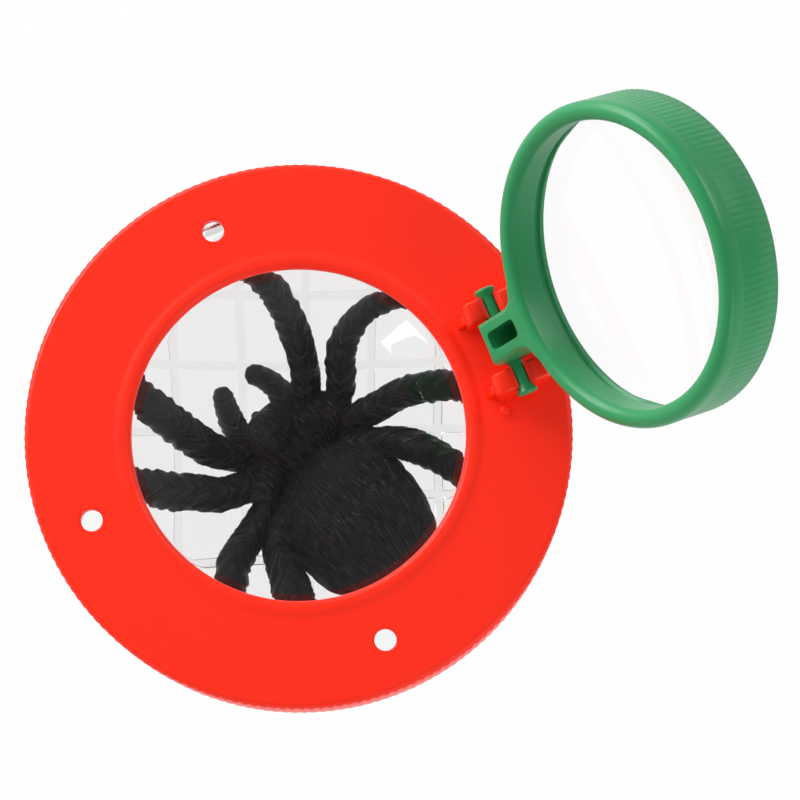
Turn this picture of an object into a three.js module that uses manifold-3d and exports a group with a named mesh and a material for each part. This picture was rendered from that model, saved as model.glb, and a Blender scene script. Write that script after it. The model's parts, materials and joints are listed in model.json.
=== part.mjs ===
// Bug viewer: a clear pot with a red screw lid. The lid carries a large lens, three air holes and
// a snap hinge with a green ring, which holds a second lens. A rubber spider lies on the pot's floor.
// Millimetres, +Z up. The origin is the centre of the pot's flat base, and the hinge lies on +X.

import * as THREE from 'three';
import { mergeVertices } from 'three/addons/utils/BufferGeometryUtils.js';
import Module from 'manifold-3d';

const wasm = await Module();
wasm.setup();

// Fits

const FIT = 0.3; // gap round a piece that seats in another
const SNAP = 0.4; // how far a bead reaches past the edge of the lens it holds

// Lid

const LID_RADIUS = 41; // over the tips of the knurl
const LID_WALL = 1.6;
const LID_PLATE = 2;
const LID_SKIRT = 14; // from the lid's top down to the skirt's end
const LID_EDGE_ROUND = 0.8;
const LID_TEETH = 180;
const LID_TOOTH_DEPTH = 0.2;
const LID_TOOTH_MARGIN = 0.8; // plain band below the knurl

// Lens opening of the lid

const OPENING_RADIUS = 25;
const LIP_WIDTH = 1.9;
const LIP_HEIGHT = 0.3;
const LIP_ROUND = 1.1; // rounding of the lip towards the lens
const LEDGE_WIDTH = 0.9; // the part of the lens that the lid covers
const LEDGE_THICKNESS = 1.3;
const COLLAR_WALL = 1.6;
const BEAD_HEIGHT = 1;

// Lenses

const LENS_EDGE = 1.5;
const LENS_TOP_CURVE = 56;
const LENS_BOTTOM_CURVE = 700;
const FLIP_LENS_TOP_CURVE = 90;
const FLIP_LENS_BOTTOM_CURVE = 240;

// Air holes, at each quarter turn that the hinge leaves free

const AIR_HOLE_RADIUS = 1.65;
const AIR_HOLE_CIRCLE = 33.4;

// Pot

const JAR_HEIGHT = 59.7;
const JAR_WALL = 1.8;
const JAR_FLOOR = 2;
const JAR_TAPER = 1.4; // how much narrower the base is than the neck
const JAR_FOOT_ROUND = 2;
const JAR_RIM_ROUND = 0.6;
const THREAD_ROOM = 1.8; // between neck and skirt, for the screw thread
const STOP_RING_WIDTH = 1.9;
const STOP_RING_HEIGHT = 1.4;
const STOP_RING_GAP = 0.8; // below the end of the skirt

// Measuring grid on the pot's floor

const GRID_STEP = 5;
const GRID_RIB = 0.6;
const GRID_HEIGHT = 0.45;
const GRID_MARGIN = 6; // between the grid and the wall
const GRID_TURN = -22; // degrees from the hinge
const GRID_SHIFT_X = -1.1;
const GRID_SHIFT_Y = 2.75;

// Hinge

const HINGE_OFFSET = 33.5; // from the lid's axis to the pin
const HINGE_HEIGHT = 5.9; // from the lid's top to the pin
const CLOSED_GAP = 0.63; // between the lid's top and the closed ring
const OPEN_ANGLE = 124.6; // degrees from closed
const PIN_RADIUS = 1.1;
const PIN_HALF_LENGTH = 8.5;
const PIN_HEAD_RADIUS = 1.6;
const PIN_HEAD = 0.9;

// Clips on the lid that hold the pins

const CLIP_GAP = 0.8; // between arm and clip
const CLIP_BASE = 8.4; // along X, over both prongs
const CLIP_TOP = 7.6;
const CLIP_RISE = 1.6; // above the pin's axis
const CLIP_MOUTH = 1.8; // narrower than the pin, so that it snaps in
const CLIP_LEAD_IN = 5; // width of the mouth at its top
const CLIP_SINK = 1; // into the lid's plate
const BUTTRESS_LENGTH = 1.3;
const BUTTRESS_HEIGHT = 2.6;
const BUTTRESS_WIDTH = 1.4;

// Stud beside one clip

const STUD_X = 29.7;
const STUD_Y = -8.9;
const STUD_RADIUS = 0.75;
const STUD_HEIGHT = 0.8;

// Ring

const RING_RADIUS = 23.5;
const RING_DEPTH = 9.8;
const RING_WALL = 1.3; // round the lens seat
const RING_NOSE = 2.8; // width of the rounded front
const RING_TEETH = 144;
const RING_TOOTH_DEPTH = 0.15;
const RING_PLAIN_BAND = 3; // smooth part of the rim, from the front
const RING_BACK_MARGIN = 0.3;
const RING_BACK_ROUND = 0.4;
const SEAT_DEPTH = 5.4; // from the front to the lens's ledge
const SEAT_LEDGE = 1.05;

// Arm between the ring and its pins

const ARM_HALF_WIDTH = 3.2;
const ARM_BOSS = 1.8; // radius round the pin
const ARM_NOSE = 1.7; // from the pin's axis to the start of the arm's flat front
const ARM_FILLET = 2.5;
const POCKET_START = 2.9;
const POCKET_LENGTH = 6.9;
const POCKET_WIDTH = 2.8;
const POCKET_FLOOR = 1.5;

// Toy spider, along its own axes: +Y to the head, +X to its right

const SPIDER_X = 1.1;
const SPIDER_Y = 4.1;
const SPIDER_HEADING = 18; // degrees from +Y
const ABDOMEN_WIDTH = 11.8;
const ABDOMEN_HEIGHT = 9.4;
const ABDOMEN_FRONT = 6.4; // from the widest place to the waist
const ABDOMEN_BACK = 9; // from the widest place to the tail
const ABDOMEN_WAIST = 1; // how far the abdomen reaches under the chest
const CHEST_WIDTH = 8.4;
const CHEST_LENGTH = 8;
const CHEST_HEIGHT = 4.6;
const CHEST_FRONT = 2.6;
const BODY_LIFT = 6; // of the body's middle above its feet
const HEAD_WIDTH = 4.2;
const HEAD_HEIGHT = 4;
const HEAD_FRONT = 3.7;

// Facets

const FACETS = 48;
const RING_FACETS = 40;
const LENS_FACETS = 32;
const LENS_TOP_ROWS = 4;
const LENS_BOTTOM_ROWS = 2;

// What follows from the sizes

const lidTop = JAR_HEIGHT + FIT + LID_PLATE;
const skirtEnd = lidTop - LID_SKIRT;
const skirtRoot = LID_RADIUS - LID_TOOTH_DEPTH;
const skirtBore = skirtRoot - LID_WALL;
const neckRadius = skirtBore - THREAD_ROOM;
const baseRadius = neckRadius - JAR_TAPER;
const floorRadius = baseRadius - JAR_WALL;
const ribTop = JAR_FLOOR + GRID_HEIGHT;

const domeRadius = OPENING_RADIUS - FIT;
const lensRadius = OPENING_RADIUS + LEDGE_WIDTH;
const pocketRadius = lensRadius + FIT;
const lensTop = lidTop - LEDGE_THICKNESS - FIT;
const beadTop = lensTop - LENS_EDGE - FIT;
const ringOpening = RING_RADIUS - RING_NOSE;
const seatRadius = RING_RADIUS - RING_WALL;
const ledgeRadius = seatRadius - SEAT_LEDGE;

const frontOffset = HINGE_HEIGHT - CLOSED_GAP; // from the pin to the ring's front face
const ringFront = -frontOffset;
const ringBack = ringFront + RING_DEPTH;
const flipLensRadius = seatRadius - FIT;

const rad = THREE.MathUtils.degToRad;

// Solids

/** Closed solid of a geometry whose faces meet. */
function toSolid(geometry) {
  const bare = geometry.clone();
  bare.deleteAttribute('normal');
  bare.deleteAttribute('uv');
  const merged = mergeVertices(bare, 1e-4);
  const places = merged.attributes.position.array;
  const corners = merged.index.array;
  const faces = [];
  let volume = 0;
  const [a, b, c] = [new THREE.Vector3(), new THREE.Vector3(), new THREE.Vector3()];
  for (let i = 0; i < corners.length; i += 3) {
    const [p, q, r] = corners.slice(i, i + 3);
    if (p === q || q === r || r === p) continue;
    faces.push(p, q, r);
    a.fromArray(places, 3 * p);
    b.fromArray(places, 3 * q);
    c.fromArray(places, 3 * r);
    volume += a.dot(b.cross(c));
  }
  if (volume < 0) faces.reverse();
  return new wasm.Manifold(new wasm.Mesh({
    numProp: 3,
    vertProperties: Float32Array.from(places),
    triVerts: Uint32Array.from(faces),
  }));
}

/** Flat-shaded mesh of a solid. */
function toMesh(name, solid, look) {
  const { vertProperties, triVerts } = solid.getMesh();
  const geometry = new THREE.BufferGeometry();
  geometry.setAttribute('position', new THREE.BufferAttribute(vertProperties, 3));
  geometry.setIndex(new THREE.BufferAttribute(triVerts, 1));
  geometry.computeVertexNormals();
  const mesh = new THREE.Mesh(geometry, new THREE.MeshStandardMaterial(look));
  mesh.name = name;
  return mesh;
}

/** Solid of revolution about Z from [radius, height] points. */
function revolve(points, facets = FACETS) {
  const profile = points.map(([r, z]) => new THREE.Vector2(r, z));
  if (points[0][0] > 0) profile.push(profile[0].clone());
  return toSolid(new THREE.LatheGeometry(profile, facets).rotateX(Math.PI / 2));
}

/** [radius, height] points of an arc, from one angle in degrees to another. */
function arc(r, z, radius, from, to, steps = 3) {
  return Array.from({ length: steps + 1 }, (_, i) => {
    const angle = rad(from + (to - from) * i / steps);
    return [r + radius * Math.cos(angle), z + radius * Math.sin(angle)];
  });
}

/** Plate of an XY outline between two heights. */
function plate(shape, low, high, curveSegments = 8) {
  const options = { depth: high - low, bevelEnabled: false, curveSegments };
  return toSolid(new THREE.ExtrudeGeometry(shape, options).translate(0, 0, low));
}

/** Slab of an XZ outline between two places along Y. */
function slab(shape, near, far, curveSegments = 8) {
  const options = { depth: far - near, bevelEnabled: false, curveSegments };
  return toSolid(new THREE.ExtrudeGeometry(shape, options).rotateX(Math.PI / 2).translate(0, far, 0));
}

function outline(points) {
  return new THREE.Shape(points.map(([x, y]) => new THREE.Vector2(x, y)));
}

/** Cylinder along Z, or along Y when lying. */
function rod(radius, from, to, { lying = false, facets = 24 } = {}) {
  const geometry = new THREE.CylinderGeometry(radius, radius, to - from, facets);
  if (!lying) geometry.rotateX(Math.PI / 2);
  const middle = (from + to) / 2;
  return toSolid(geometry.translate(0, lying ? middle : 0, lying ? 0 : middle));
}

/** Band of V-shaped teeth round Z, with a plain bore. */
function knurl(tipRadius, depth, count, bore, low, high) {
  const edge = Array.from({ length: 2 * count }, (_, i) => {
    const radius = tipRadius - (i % 2) * depth;
    const angle = Math.PI * i / count;
    return [radius * Math.cos(angle), radius * Math.sin(angle)];
  });
  const shape = outline(edge);
  shape.holes.push(new THREE.Path().absarc(0, 0, bore, 0, 2 * Math.PI, true));
  return plate(shape, low, high, 24);
}

/** Lens with a dome on each face inside its flat rim, which lies between two heights. */
function domedLens(radius, domeRadius, bottomCurve, topCurve, edgeLow, edgeHigh) {
  const sweep = (curve) => THREE.MathUtils.radToDeg(Math.asin(domeRadius / curve));
  const drop = (curve) => Math.sqrt(curve ** 2 - domeRadius ** 2);
  const bottomEnd = sweep(bottomCurve) - 90;
  const topStart = 90 - sweep(topCurve);
  const below = arc(0, edgeLow + drop(bottomCurve), bottomCurve, -90, bottomEnd, LENS_BOTTOM_ROWS);
  const above = arc(0, edgeHigh - drop(topCurve), topCurve, topStart, 90, LENS_TOP_ROWS);
  below[0][0] = 0;
  above[LENS_TOP_ROWS][0] = 0;
  return revolve([...below, [radius, edgeLow], [radius, edgeHigh], ...above], LENS_FACETS);
}

// Pot

function jarSolid() {
  const ringTop = skirtEnd - STOP_RING_GAP;
  const ringLow = ringTop - STOP_RING_HEIGHT;
  const outside = [
    [0, 0],
    ...arc(baseRadius - JAR_FOOT_ROUND, JAR_FOOT_ROUND, JAR_FOOT_ROUND, -90, 0),
    [neckRadius, ringLow - STOP_RING_WIDTH],
    [neckRadius + STOP_RING_WIDTH, ringLow],
    [neckRadius + STOP_RING_WIDTH, ringTop],
    [neckRadius, ringTop],
    ...arc(neckRadius - JAR_RIM_ROUND, JAR_HEIGHT - JAR_RIM_ROUND, JAR_RIM_ROUND, 0, 90, 2),
  ];
  const inside = [
    ...arc(neckRadius - JAR_WALL + JAR_RIM_ROUND, JAR_HEIGHT - JAR_RIM_ROUND, JAR_RIM_ROUND, 90, 180, 2),
    [neckRadius - JAR_WALL, ringLow],
    ...arc(floorRadius - JAR_FOOT_ROUND, JAR_FLOOR + JAR_FOOT_ROUND, JAR_FOOT_ROUND, 0, -90),
    [0, JAR_FLOOR],
  ];
  return revolve([...outside, ...inside]).add(gridRibs());
}

/** Ribs of the measuring grid, rooted in the floor. */
function gridRibs() {
  const reach = floorRadius - GRID_MARGIN;
  const lines = Math.ceil(2 * reach / GRID_STEP);
  let ribs = null;
  for (const [shift, across] of [[GRID_SHIFT_X, false], [GRID_SHIFT_Y, true]]) {
    for (let i = -lines; i <= lines; i += 1) {
      const place = shift + i * GRID_STEP;
      if (Math.abs(place) > reach - GRID_STEP / 4) continue;
      const height = JAR_FLOOR / 2 + GRID_HEIGHT;
      const bar = new THREE.BoxGeometry(2 * reach, GRID_RIB, height);
      bar.translate(0, place, ribTop - height / 2);
      if (!across) bar.rotateZ(-Math.PI / 2);
      const rib = toSolid(bar);
      ribs = ribs ? ribs.add(rib) : rib;
    }
  }
  return ribs.intersect(rod(reach, 0, JAR_HEIGHT, { facets: 24 })).rotate([0, 0, GRID_TURN]);
}

// Lid

function lidSolid() {
  const lipTop = lidTop + LIP_HEIGHT;
  const lip = [
    [OPENING_RADIUS + LIP_WIDTH, lidTop],
    [OPENING_RADIUS + LIP_ROUND + LIP_HEIGHT, lipTop],
    ...arc(OPENING_RADIUS + LIP_ROUND, lipTop - LIP_ROUND, LIP_ROUND, 90, 180),
  ];
  const shell = revolve([
    [skirtRoot, skirtEnd],
    ...arc(skirtRoot - LID_EDGE_ROUND, lidTop - LID_EDGE_ROUND, LID_EDGE_ROUND, 0, 90),
    ...lip,
    [OPENING_RADIUS, lidTop - LEDGE_THICKNESS],
    [pocketRadius, lidTop - LEDGE_THICKNESS],
    [pocketRadius, beadTop],
    [lensRadius - SNAP, beadTop - BEAD_HEIGHT / 3],
    [lensRadius - SNAP, beadTop - 2 * BEAD_HEIGHT / 3],
    [pocketRadius, beadTop - BEAD_HEIGHT],
    [pocketRadius + COLLAR_WALL, beadTop - BEAD_HEIGHT],
    [pocketRadius + COLLAR_WALL, lidTop - LID_PLATE],
    [skirtBore, lidTop - LID_PLATE],
    [skirtBore, skirtEnd],
  ]);
  const toothLow = skirtEnd + LID_TOOTH_MARGIN;
  const toothHigh = lidTop - LID_EDGE_ROUND;
  const toothRoot = skirtRoot - LID_WALL / 2;
  const teeth = knurl(LID_RADIUS, LID_TOOTH_DEPTH, LID_TEETH, toothRoot, toothLow, toothHigh);
  let lid = shell.add(teeth);
  for (const side of [-1, 1]) lid = lid.add(clipSolid(side));
  const stud = rod(STUD_RADIUS, lidTop - LID_PLATE / 2, lidTop + STUD_HEIGHT, { facets: 12 });
  lid = lid.add(stud.translate([STUD_X, STUD_Y, 0]));
  for (const turn of [90, 180, 270]) lid = lid.subtract(airHole(turn));
  return lid;
}

function airHole(turn) {
  return rod(AIR_HOLE_RADIUS, lidTop - 2 * LID_PLATE, lidTop + LID_PLATE)
    .translate([AIR_HOLE_CIRCLE, 0, 0]).rotate([0, 0, turn]);
}

/** One clip: two prongs with a bore for the pin between them and a buttress on the lens's side. */
function clipSolid(side) {
  const bore = PIN_RADIUS + FIT;
  const mouthAngle = Math.asin(CLIP_MOUTH / 2 / bore);
  const low = -HINGE_HEIGHT - CLIP_SINK;
  const shape = new THREE.Shape();
  shape.moveTo(-CLIP_BASE / 2, low);
  shape.lineTo(CLIP_BASE / 2, low);
  shape.lineTo(CLIP_BASE / 2, 0);
  shape.lineTo(CLIP_TOP / 2, CLIP_RISE);
  shape.lineTo(CLIP_LEAD_IN / 2, CLIP_RISE);
  shape.absarc(0, 0, bore, Math.PI / 2 - mouthAngle, Math.PI / 2 + mouthAngle - 2 * Math.PI, true);
  shape.lineTo(-CLIP_LEAD_IN / 2, CLIP_RISE);
  shape.lineTo(-CLIP_TOP / 2, CLIP_RISE);
  shape.lineTo(-CLIP_BASE / 2, 0);
  const inner = ARM_HALF_WIDTH + CLIP_GAP;
  const outer = PIN_HALF_LENGTH - PIN_HEAD - FIT;
  const prongs = slab(shape, inner, outer);
  const brace = outline([
    [-CLIP_BASE / 2 - BUTTRESS_LENGTH, low],
    [0, low],
    [0, -HINGE_HEIGHT + BUTTRESS_HEIGHT],
    [-CLIP_BASE / 2, -HINGE_HEIGHT + BUTTRESS_HEIGHT],
    [-CLIP_BASE / 2 - BUTTRESS_LENGTH, -HINGE_HEIGHT],
  ]);
  const middle = (inner + outer) / 2;
  const buttress = slab(brace, middle - BUTTRESS_WIDTH / 2, middle + BUTTRESS_WIDTH / 2);
  const clip = prongs.add(buttress).translate([HINGE_OFFSET, 0, lidTop + HINGE_HEIGHT]);
  return side > 0 ? clip : clip.mirror([0, 1, 0]);
}

// Ring, in the place it has when closed, with the pin's axis on the Y axis

function flipFrameSolid() {
  const nose = (RING_RADIUS - ringOpening) / 2;
  const rootRadius = RING_RADIUS - RING_TOOTH_DEPTH;
  const toothLow = ringFront + RING_PLAIN_BAND;
  const toothHigh = ringBack - RING_BACK_MARGIN;
  const drum = revolve([
    [0, ringFront],
    ...arc(RING_RADIUS - nose, ringFront + nose, nose, -90, 0),
    [RING_RADIUS, toothLow],
    [rootRadius, toothLow],
    [rootRadius, ringBack - RING_BACK_ROUND],
    [rootRadius - RING_BACK_ROUND, ringBack],
    [0, ringBack],
  ], RING_FACETS);
  const teeth = knurl(RING_RADIUS, RING_TOOTH_DEPTH, RING_TEETH, seatRadius, toothLow, toothHigh);
  const place = [-HINGE_OFFSET, 0, 0];
  return drum.add(teeth).translate(place)
    .add(armSolid())
    .subtract(ringBore(nose).translate(place))
    .subtract(armPocket())
    .add(rod(PIN_RADIUS, -PIN_HALF_LENGTH, PIN_HALF_LENGTH, { lying: true, facets: 14 }))
    .add(rod(PIN_HEAD_RADIUS, -PIN_HALF_LENGTH, PIN_HEAD - PIN_HALF_LENGTH, { lying: true, facets: 14 }))
    .add(rod(PIN_HEAD_RADIUS, PIN_HALF_LENGTH - PIN_HEAD, PIN_HALF_LENGTH, { lying: true, facets: 14 }));
}

/** Room inside the ring: rounded mouth, tapered bore, ledge, lens seat, bead and back opening. */
function ringBore(nose) {
  const seat = ringFront + SEAT_DEPTH;
  const beadLow = seat + LENS_EDGE + 2 * FIT;
  const mouth = arc(ringOpening + nose, ringFront + nose, nose, -90, -180);
  const over = RING_DEPTH / 4;
  return revolve([
    [0, ringFront - over],
    [ringOpening + nose, ringFront - over],
    ...mouth,
    [ledgeRadius, seat],
    [seatRadius, seat],
    [seatRadius, beadLow],
    [flipLensRadius - SNAP / 2, beadLow + FIT],
    [seatRadius, beadLow + 2 * FIT],
    [seatRadius, ringBack + over],
    [0, ringBack + over],
  ], RING_FACETS);
}

/** Arm: its side view cut to its plan, which widens into the ring by a fillet on each side. */
function armSolid() {
  const reach = HINGE_OFFSET - ringOpening;
  const side = new THREE.Shape();
  side.absarc(0, 0, ARM_BOSS, 0, Math.PI / 2, false);
  side.lineTo(-reach, ARM_BOSS);
  side.lineTo(-reach, ringFront);
  side.lineTo(-ARM_NOSE, ringFront);
  const fillet = RING_RADIUS + ARM_FILLET;
  const filletY = ARM_HALF_WIDTH + ARM_FILLET;
  const filletX = HINGE_OFFSET - Math.sqrt(fillet ** 2 - filletY ** 2);
  const end = Math.atan2(-filletY, HINGE_OFFSET - filletX);
  const curve = Array.from({ length: 6 }, (_, i) => {
    const angle = -Math.PI / 2 + (end + Math.PI / 2) * i / 5;
    return [-filletX - ARM_FILLET * Math.cos(angle), filletY + ARM_FILLET * Math.sin(angle)];
  });
  const half = [[ARM_BOSS, ARM_HALF_WIDTH], ...curve, [-reach, curve[5][1]]];
  const plan = outline([...half, ...half.map(([x, y]) => [x, -y]).reverse()]);
  const width = RING_RADIUS / 2;
  return slab(side, -width, width).intersect(plate(plan, ringFront, ringBack));
}

function armPocket() {
  const start = -POCKET_START;
  const shape = outline([
    [start, ringFront - POCKET_FLOOR],
    [start, ARM_BOSS - POCKET_FLOOR],
    [start - POCKET_LENGTH * 0.8, ARM_BOSS - POCKET_FLOOR],
    [start - POCKET_LENGTH, ringFront - POCKET_FLOOR],
  ]);
  return slab(shape, -POCKET_WIDTH / 2, POCKET_WIDTH / 2);
}

// Toy spider, standing on the XY plane

/** Limb along a smooth path of [right, forward, up, radius] points, with rounded-off ends. */
function limb(path, rows = 8, sides = 6) {
  const curve = new THREE.CatmullRomCurve3(path.map(([x, y, z]) => new THREE.Vector3(x, y, z)));
  const thickness = new THREE.SplineCurve(path.map((point, i) => new THREE.Vector2(i, point[3])));
  const frames = curve.computeFrenetFrames(rows - 1);
  const radii = [];
  const places = [];
  for (let row = 0; row < rows; row += 1) {
    const share = row / (rows - 1);
    const centre = curve.getPointAt(share);
    const radius = thickness.getPoint(curve.getUtoTmapping(share)).y;
    radii.push(radius);
    for (let side = 0; side < sides; side += 1) {
      const angle = 2 * Math.PI * side / sides;
      const spoke = frames.normals[row].clone().multiplyScalar(radius * Math.cos(angle))
        .addScaledVector(frames.binormals[row], radius * Math.sin(angle));
      places.push(...spoke.add(centre).toArray());
    }
  }
  const last = places.length / 3;
  places.push(...curve.getPointAt(0).addScaledVector(frames.tangents[0], -radii[0] / 2).toArray());
  const tip = curve.getPointAt(1).addScaledVector(frames.tangents[rows - 1], radii[rows - 1] / 2);
  places.push(...tip.toArray());
  const faces = [];
  for (let side = 0; side < sides; side += 1) {
    const next = (side + 1) % sides;
    for (let row = 0; row < rows - 1; row += 1) {
      const [a, b] = [row * sides + side, row * sides + next];
      faces.push(a, b, b + sides, a, b + sides, a + sides);
    }
    faces.push(last, next, side, last + 1, last - sides + side, last - sides + next);
  }
  const geometry = new THREE.BufferGeometry();
  geometry.setAttribute('position', new THREE.Float32BufferAttribute(places, 3));
  geometry.setIndex(faces);
  return toSolid(geometry);
}

function ellipsoid(width, length, height, y, z, columns = 14, rows = 8) {
  const ball = new THREE.SphereGeometry(0.5, columns, rows).rotateX(Math.PI / 2);
  return toSolid(ball.scale(width, length, height).translate(0, y, z));
}

/** Egg-shaped abdomen, short in front of its widest place and long behind it. */
function abdomenSolid() {
  const egg = new THREE.SphereGeometry(0.5, 16, 12);
  const places = egg.attributes.position;
  for (let i = 0; i < places.count; i += 1) {
    const length = places.getY(i) > 0 ? ABDOMEN_FRONT : ABDOMEN_BACK;
    places.setY(i, 2 * length * places.getY(i));
  }
  egg.scale(ABDOMEN_WIDTH, 1, ABDOMEN_HEIGHT);
  return toSolid(egg.translate(0, ABDOMEN_WAIST - ABDOMEN_FRONT, BODY_LIFT));
}

// Each leg from hip to foot, as [right, forward, up, radius]; the first four are on the right
const LEGS = [
  [[2.4, 3.6, 5.6, 1.3], [4.7, 6.3, 7, 1.25], [6.1, 9.2, 8.2, 1.35], [6.9, 12.6, 7.4, 1.25],
    [6.5, 16.4, 4.8, 1.15], [6, 20, 1.4, 0.9]],
  [[3, 2, 5.6, 1.3], [5.9, 3.1, 6.6, 1.2], [8.5, 5.7, 8.2, 1.3], [11.8, 6.6, 7.4, 1],
    [15.4, 5.5, 4.8, 1], [19, 4.6, 1.4, 0.9]],
  [[3, 1, 5.6, 1.3], [7.3, -0.1, 6.8, 1.25], [10.2, -0.9, 7.6, 1.3], [12.7, -2.4, 6.8, 1.3],
    [15.2, -4.8, 4.2, 1.1], [17, -6.8, 1.4, 0.9]],
  [[2.6, 0, 5.6, 1.3], [5.9, -2.8, 6.8, 1.3], [7.6, -4.9, 7.4, 1.4], [8.8, -7.6, 6, 1.3],
    [9.6, -11.4, 3.8, 1.15], [10.4, -14.6, 1.4, 0.9]],
  [[-2.6, 3, 5.6, 1.3], [-5.5, 5.8, 7, 1.4], [-6.6, 8.5, 8, 1.5], [-7.1, 11.9, 7.2, 1.45],
    [-7.1, 16, 4.6, 1.25], [-7, 19.8, 1.4, 0.9]],
  [[-3, 1.6, 5.6, 1.3], [-7.3, 2.7, 7, 1.4], [-9.4, 4.5, 7.8, 1.5], [-11, 6.4, 7, 1.55],
    [-13.2, 10, 4.2, 1.3], [-14.8, 13, 1.4, 0.9]],
  [[-3, 0.4, 5.6, 1.3], [-7.9, -1.3, 6.8, 1.3], [-10.3, -2.1, 7.4, 1.45], [-12, -3.3, 6.4, 1.4],
    [-14.4, -5.4, 4, 1.2], [-16.4, -7.4, 1.4, 0.9]],
  [[-2.6, -0.6, 5.6, 1.3], [-6.6, -3.4, 6.8, 1.4], [-8, -6.2, 7.2, 1.6], [-9, -8.8, 6.2, 1.7],
    [-10, -12, 3.8, 1.3], [-10.8, -15, 1.4, 0.9]],
];
const PALPS = [
  [[-2.4, 3.9, 5.6, 0.9], [-2.9, 6, 6, 0.92], [-2.4, 7.5, 5.4, 0.9], [-1.4, 9.2, 4, 0.66]],
  [[1.6, 3.6, 5.6, 0.9], [1.7, 5.8, 6, 0.85], [1.7, 7.4, 5.4, 0.8], [0.9, 9.1, 4, 0.68]],
];

function spiderSolid() {
  let toy = abdomenSolid()
    .add(ellipsoid(CHEST_WIDTH, CHEST_LENGTH, CHEST_HEIGHT, CHEST_FRONT, BODY_LIFT))
    .add(ellipsoid(HEAD_WIDTH, HEAD_WIDTH, HEAD_HEIGHT, HEAD_FRONT, BODY_LIFT + HEAD_HEIGHT / 3, 12, 6));
  for (const path of LEGS) toy = toy.add(limb(path));
  for (const path of PALPS) toy = toy.add(limb(path, 6));
  return toy.translate([0, 0, -toy.boundingBox().min[2]]);
}

// Scene

const clear = { color: 0xeef3f4, roughness: 0.08, metalness: 0, transparent: true, opacity: 0.35 };
const lens = { color: 0xf4f8f8, roughness: 0.04, metalness: 0, transparent: true, opacity: 0.35 };
const red = { color: 0xf32d1a, roughness: 0.42, metalness: 0 };
const green = { color: 0x2e9a5c, roughness: 0.4, metalness: 0 };
const black = { color: 0x201f20, roughness: 0.75, metalness: 0 };

const viewer = new THREE.Group();
viewer.add(toMesh('jar', jarSolid(), clear));
viewer.add(toMesh('lid', lidSolid(), red));
const lidLens = domedLens(
  lensRadius, domeRadius, LENS_BOTTOM_CURVE, LENS_TOP_CURVE, lensTop - LENS_EDGE, lensTop);
viewer.add(toMesh('lid_lens', lidLens, lens));

const flip = new THREE.Group();
flip.position.set(HINGE_OFFSET, 0, lidTop + HINGE_HEIGHT);
flip.rotation.y = rad(OPEN_ANGLE);
flip.add(toMesh('flip_frame', flipFrameSolid(), green));
const flipLensLow = ringFront + SEAT_DEPTH + FIT;
const flipLensHigh = flipLensLow + LENS_EDGE;
const flipLens = domedLens(
  flipLensRadius, ledgeRadius, FLIP_LENS_BOTTOM_CURVE, FLIP_LENS_TOP_CURVE, flipLensLow, flipLensHigh);
flip.add(toMesh('flip_lens', flipLens.translate([-HINGE_OFFSET, 0, 0]), lens));
viewer.add(flip);

const spider = new THREE.Group();
spider.position.set(SPIDER_X, SPIDER_Y, ribTop + FIT);
spider.rotation.z = rad(SPIDER_HEADING);
spider.add(toMesh('toy_spider', spiderSolid(), black));
viewer.add(spider);

export default viewer;
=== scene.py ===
"""Bug viewer pot in its studio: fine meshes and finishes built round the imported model."""

import json
import math
from contextlib import contextmanager

import bmesh
import bpy
from bpy.props import FloatProperty, FloatVectorProperty, IntProperty, PointerProperty
from mathutils import Matrix, Vector, noise


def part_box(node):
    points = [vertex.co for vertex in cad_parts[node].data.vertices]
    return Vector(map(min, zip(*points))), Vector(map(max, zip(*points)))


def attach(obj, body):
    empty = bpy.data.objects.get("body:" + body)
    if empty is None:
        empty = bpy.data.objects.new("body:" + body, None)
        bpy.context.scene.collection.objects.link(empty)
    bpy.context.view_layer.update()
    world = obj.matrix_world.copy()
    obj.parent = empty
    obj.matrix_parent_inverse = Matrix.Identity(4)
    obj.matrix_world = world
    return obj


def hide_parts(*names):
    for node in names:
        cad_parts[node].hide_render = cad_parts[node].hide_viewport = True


bl_info = {
    "name": "Bug Viewer Pot",
    "version": (1, 0, 0),
    "blender": (4, 5, 0),
    "location": "3D View > Sidebar > Bug Viewer",
    "description": "Builds a screw-lid bug viewer with a flip lens, and its studio",
    "category": "Add Mesh",
}

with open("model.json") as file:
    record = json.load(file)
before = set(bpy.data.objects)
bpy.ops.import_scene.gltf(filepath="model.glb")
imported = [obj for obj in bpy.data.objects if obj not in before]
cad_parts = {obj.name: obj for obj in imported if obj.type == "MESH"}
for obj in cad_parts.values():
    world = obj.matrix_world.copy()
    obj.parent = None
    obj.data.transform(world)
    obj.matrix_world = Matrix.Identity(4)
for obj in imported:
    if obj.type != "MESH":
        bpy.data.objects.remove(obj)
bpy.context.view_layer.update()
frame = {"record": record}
JOINTS = {joint["name"]: joint for joint in frame["record"]["behaviour"]["joints"]}
PIN = Vector(JOINTS["flip"]["pos_m"])
LID_LOW, LID_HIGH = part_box("lid")
JAR_LOW, JAR_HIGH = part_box("jar")
LENS_LOW, LENS_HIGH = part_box("lid_lens")

MM = 0.001
FULL = 2 * math.pi
OVER = 1 * MM  # how far a cutter goes past what it cuts, and a sunk part into what carries it
SOFT = 0.3 * MM  # small rounding or chamfer of a moulded edge
BEAD_GAP = 2.1 * MM  # from a lens's seat to the bead that holds the lens
THREAD_TURNS = 1.3
THREAD_SUNK = 0.1 * MM
GRID_SHIFT = (-1.1 * MM, 2.75 * MM)
GRID_TURN = -22.0
GRID_LIFT = 0.004 * MM  # keeps the underside of the grid off the pot's floor
STUD_PLACE = (29.7 * MM, -8.9 * MM)
HAIR_MAP = "Hair"


def length(default, words):
    """Length, with its default in millimetres."""
    return FloatProperty(
        name=words, description=words, default=default * MM, min=0.0, unit="LENGTH", precision=5
    )


def number(default, words):
    return FloatProperty(name=words, description=words, default=default, min=0.0)


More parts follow.
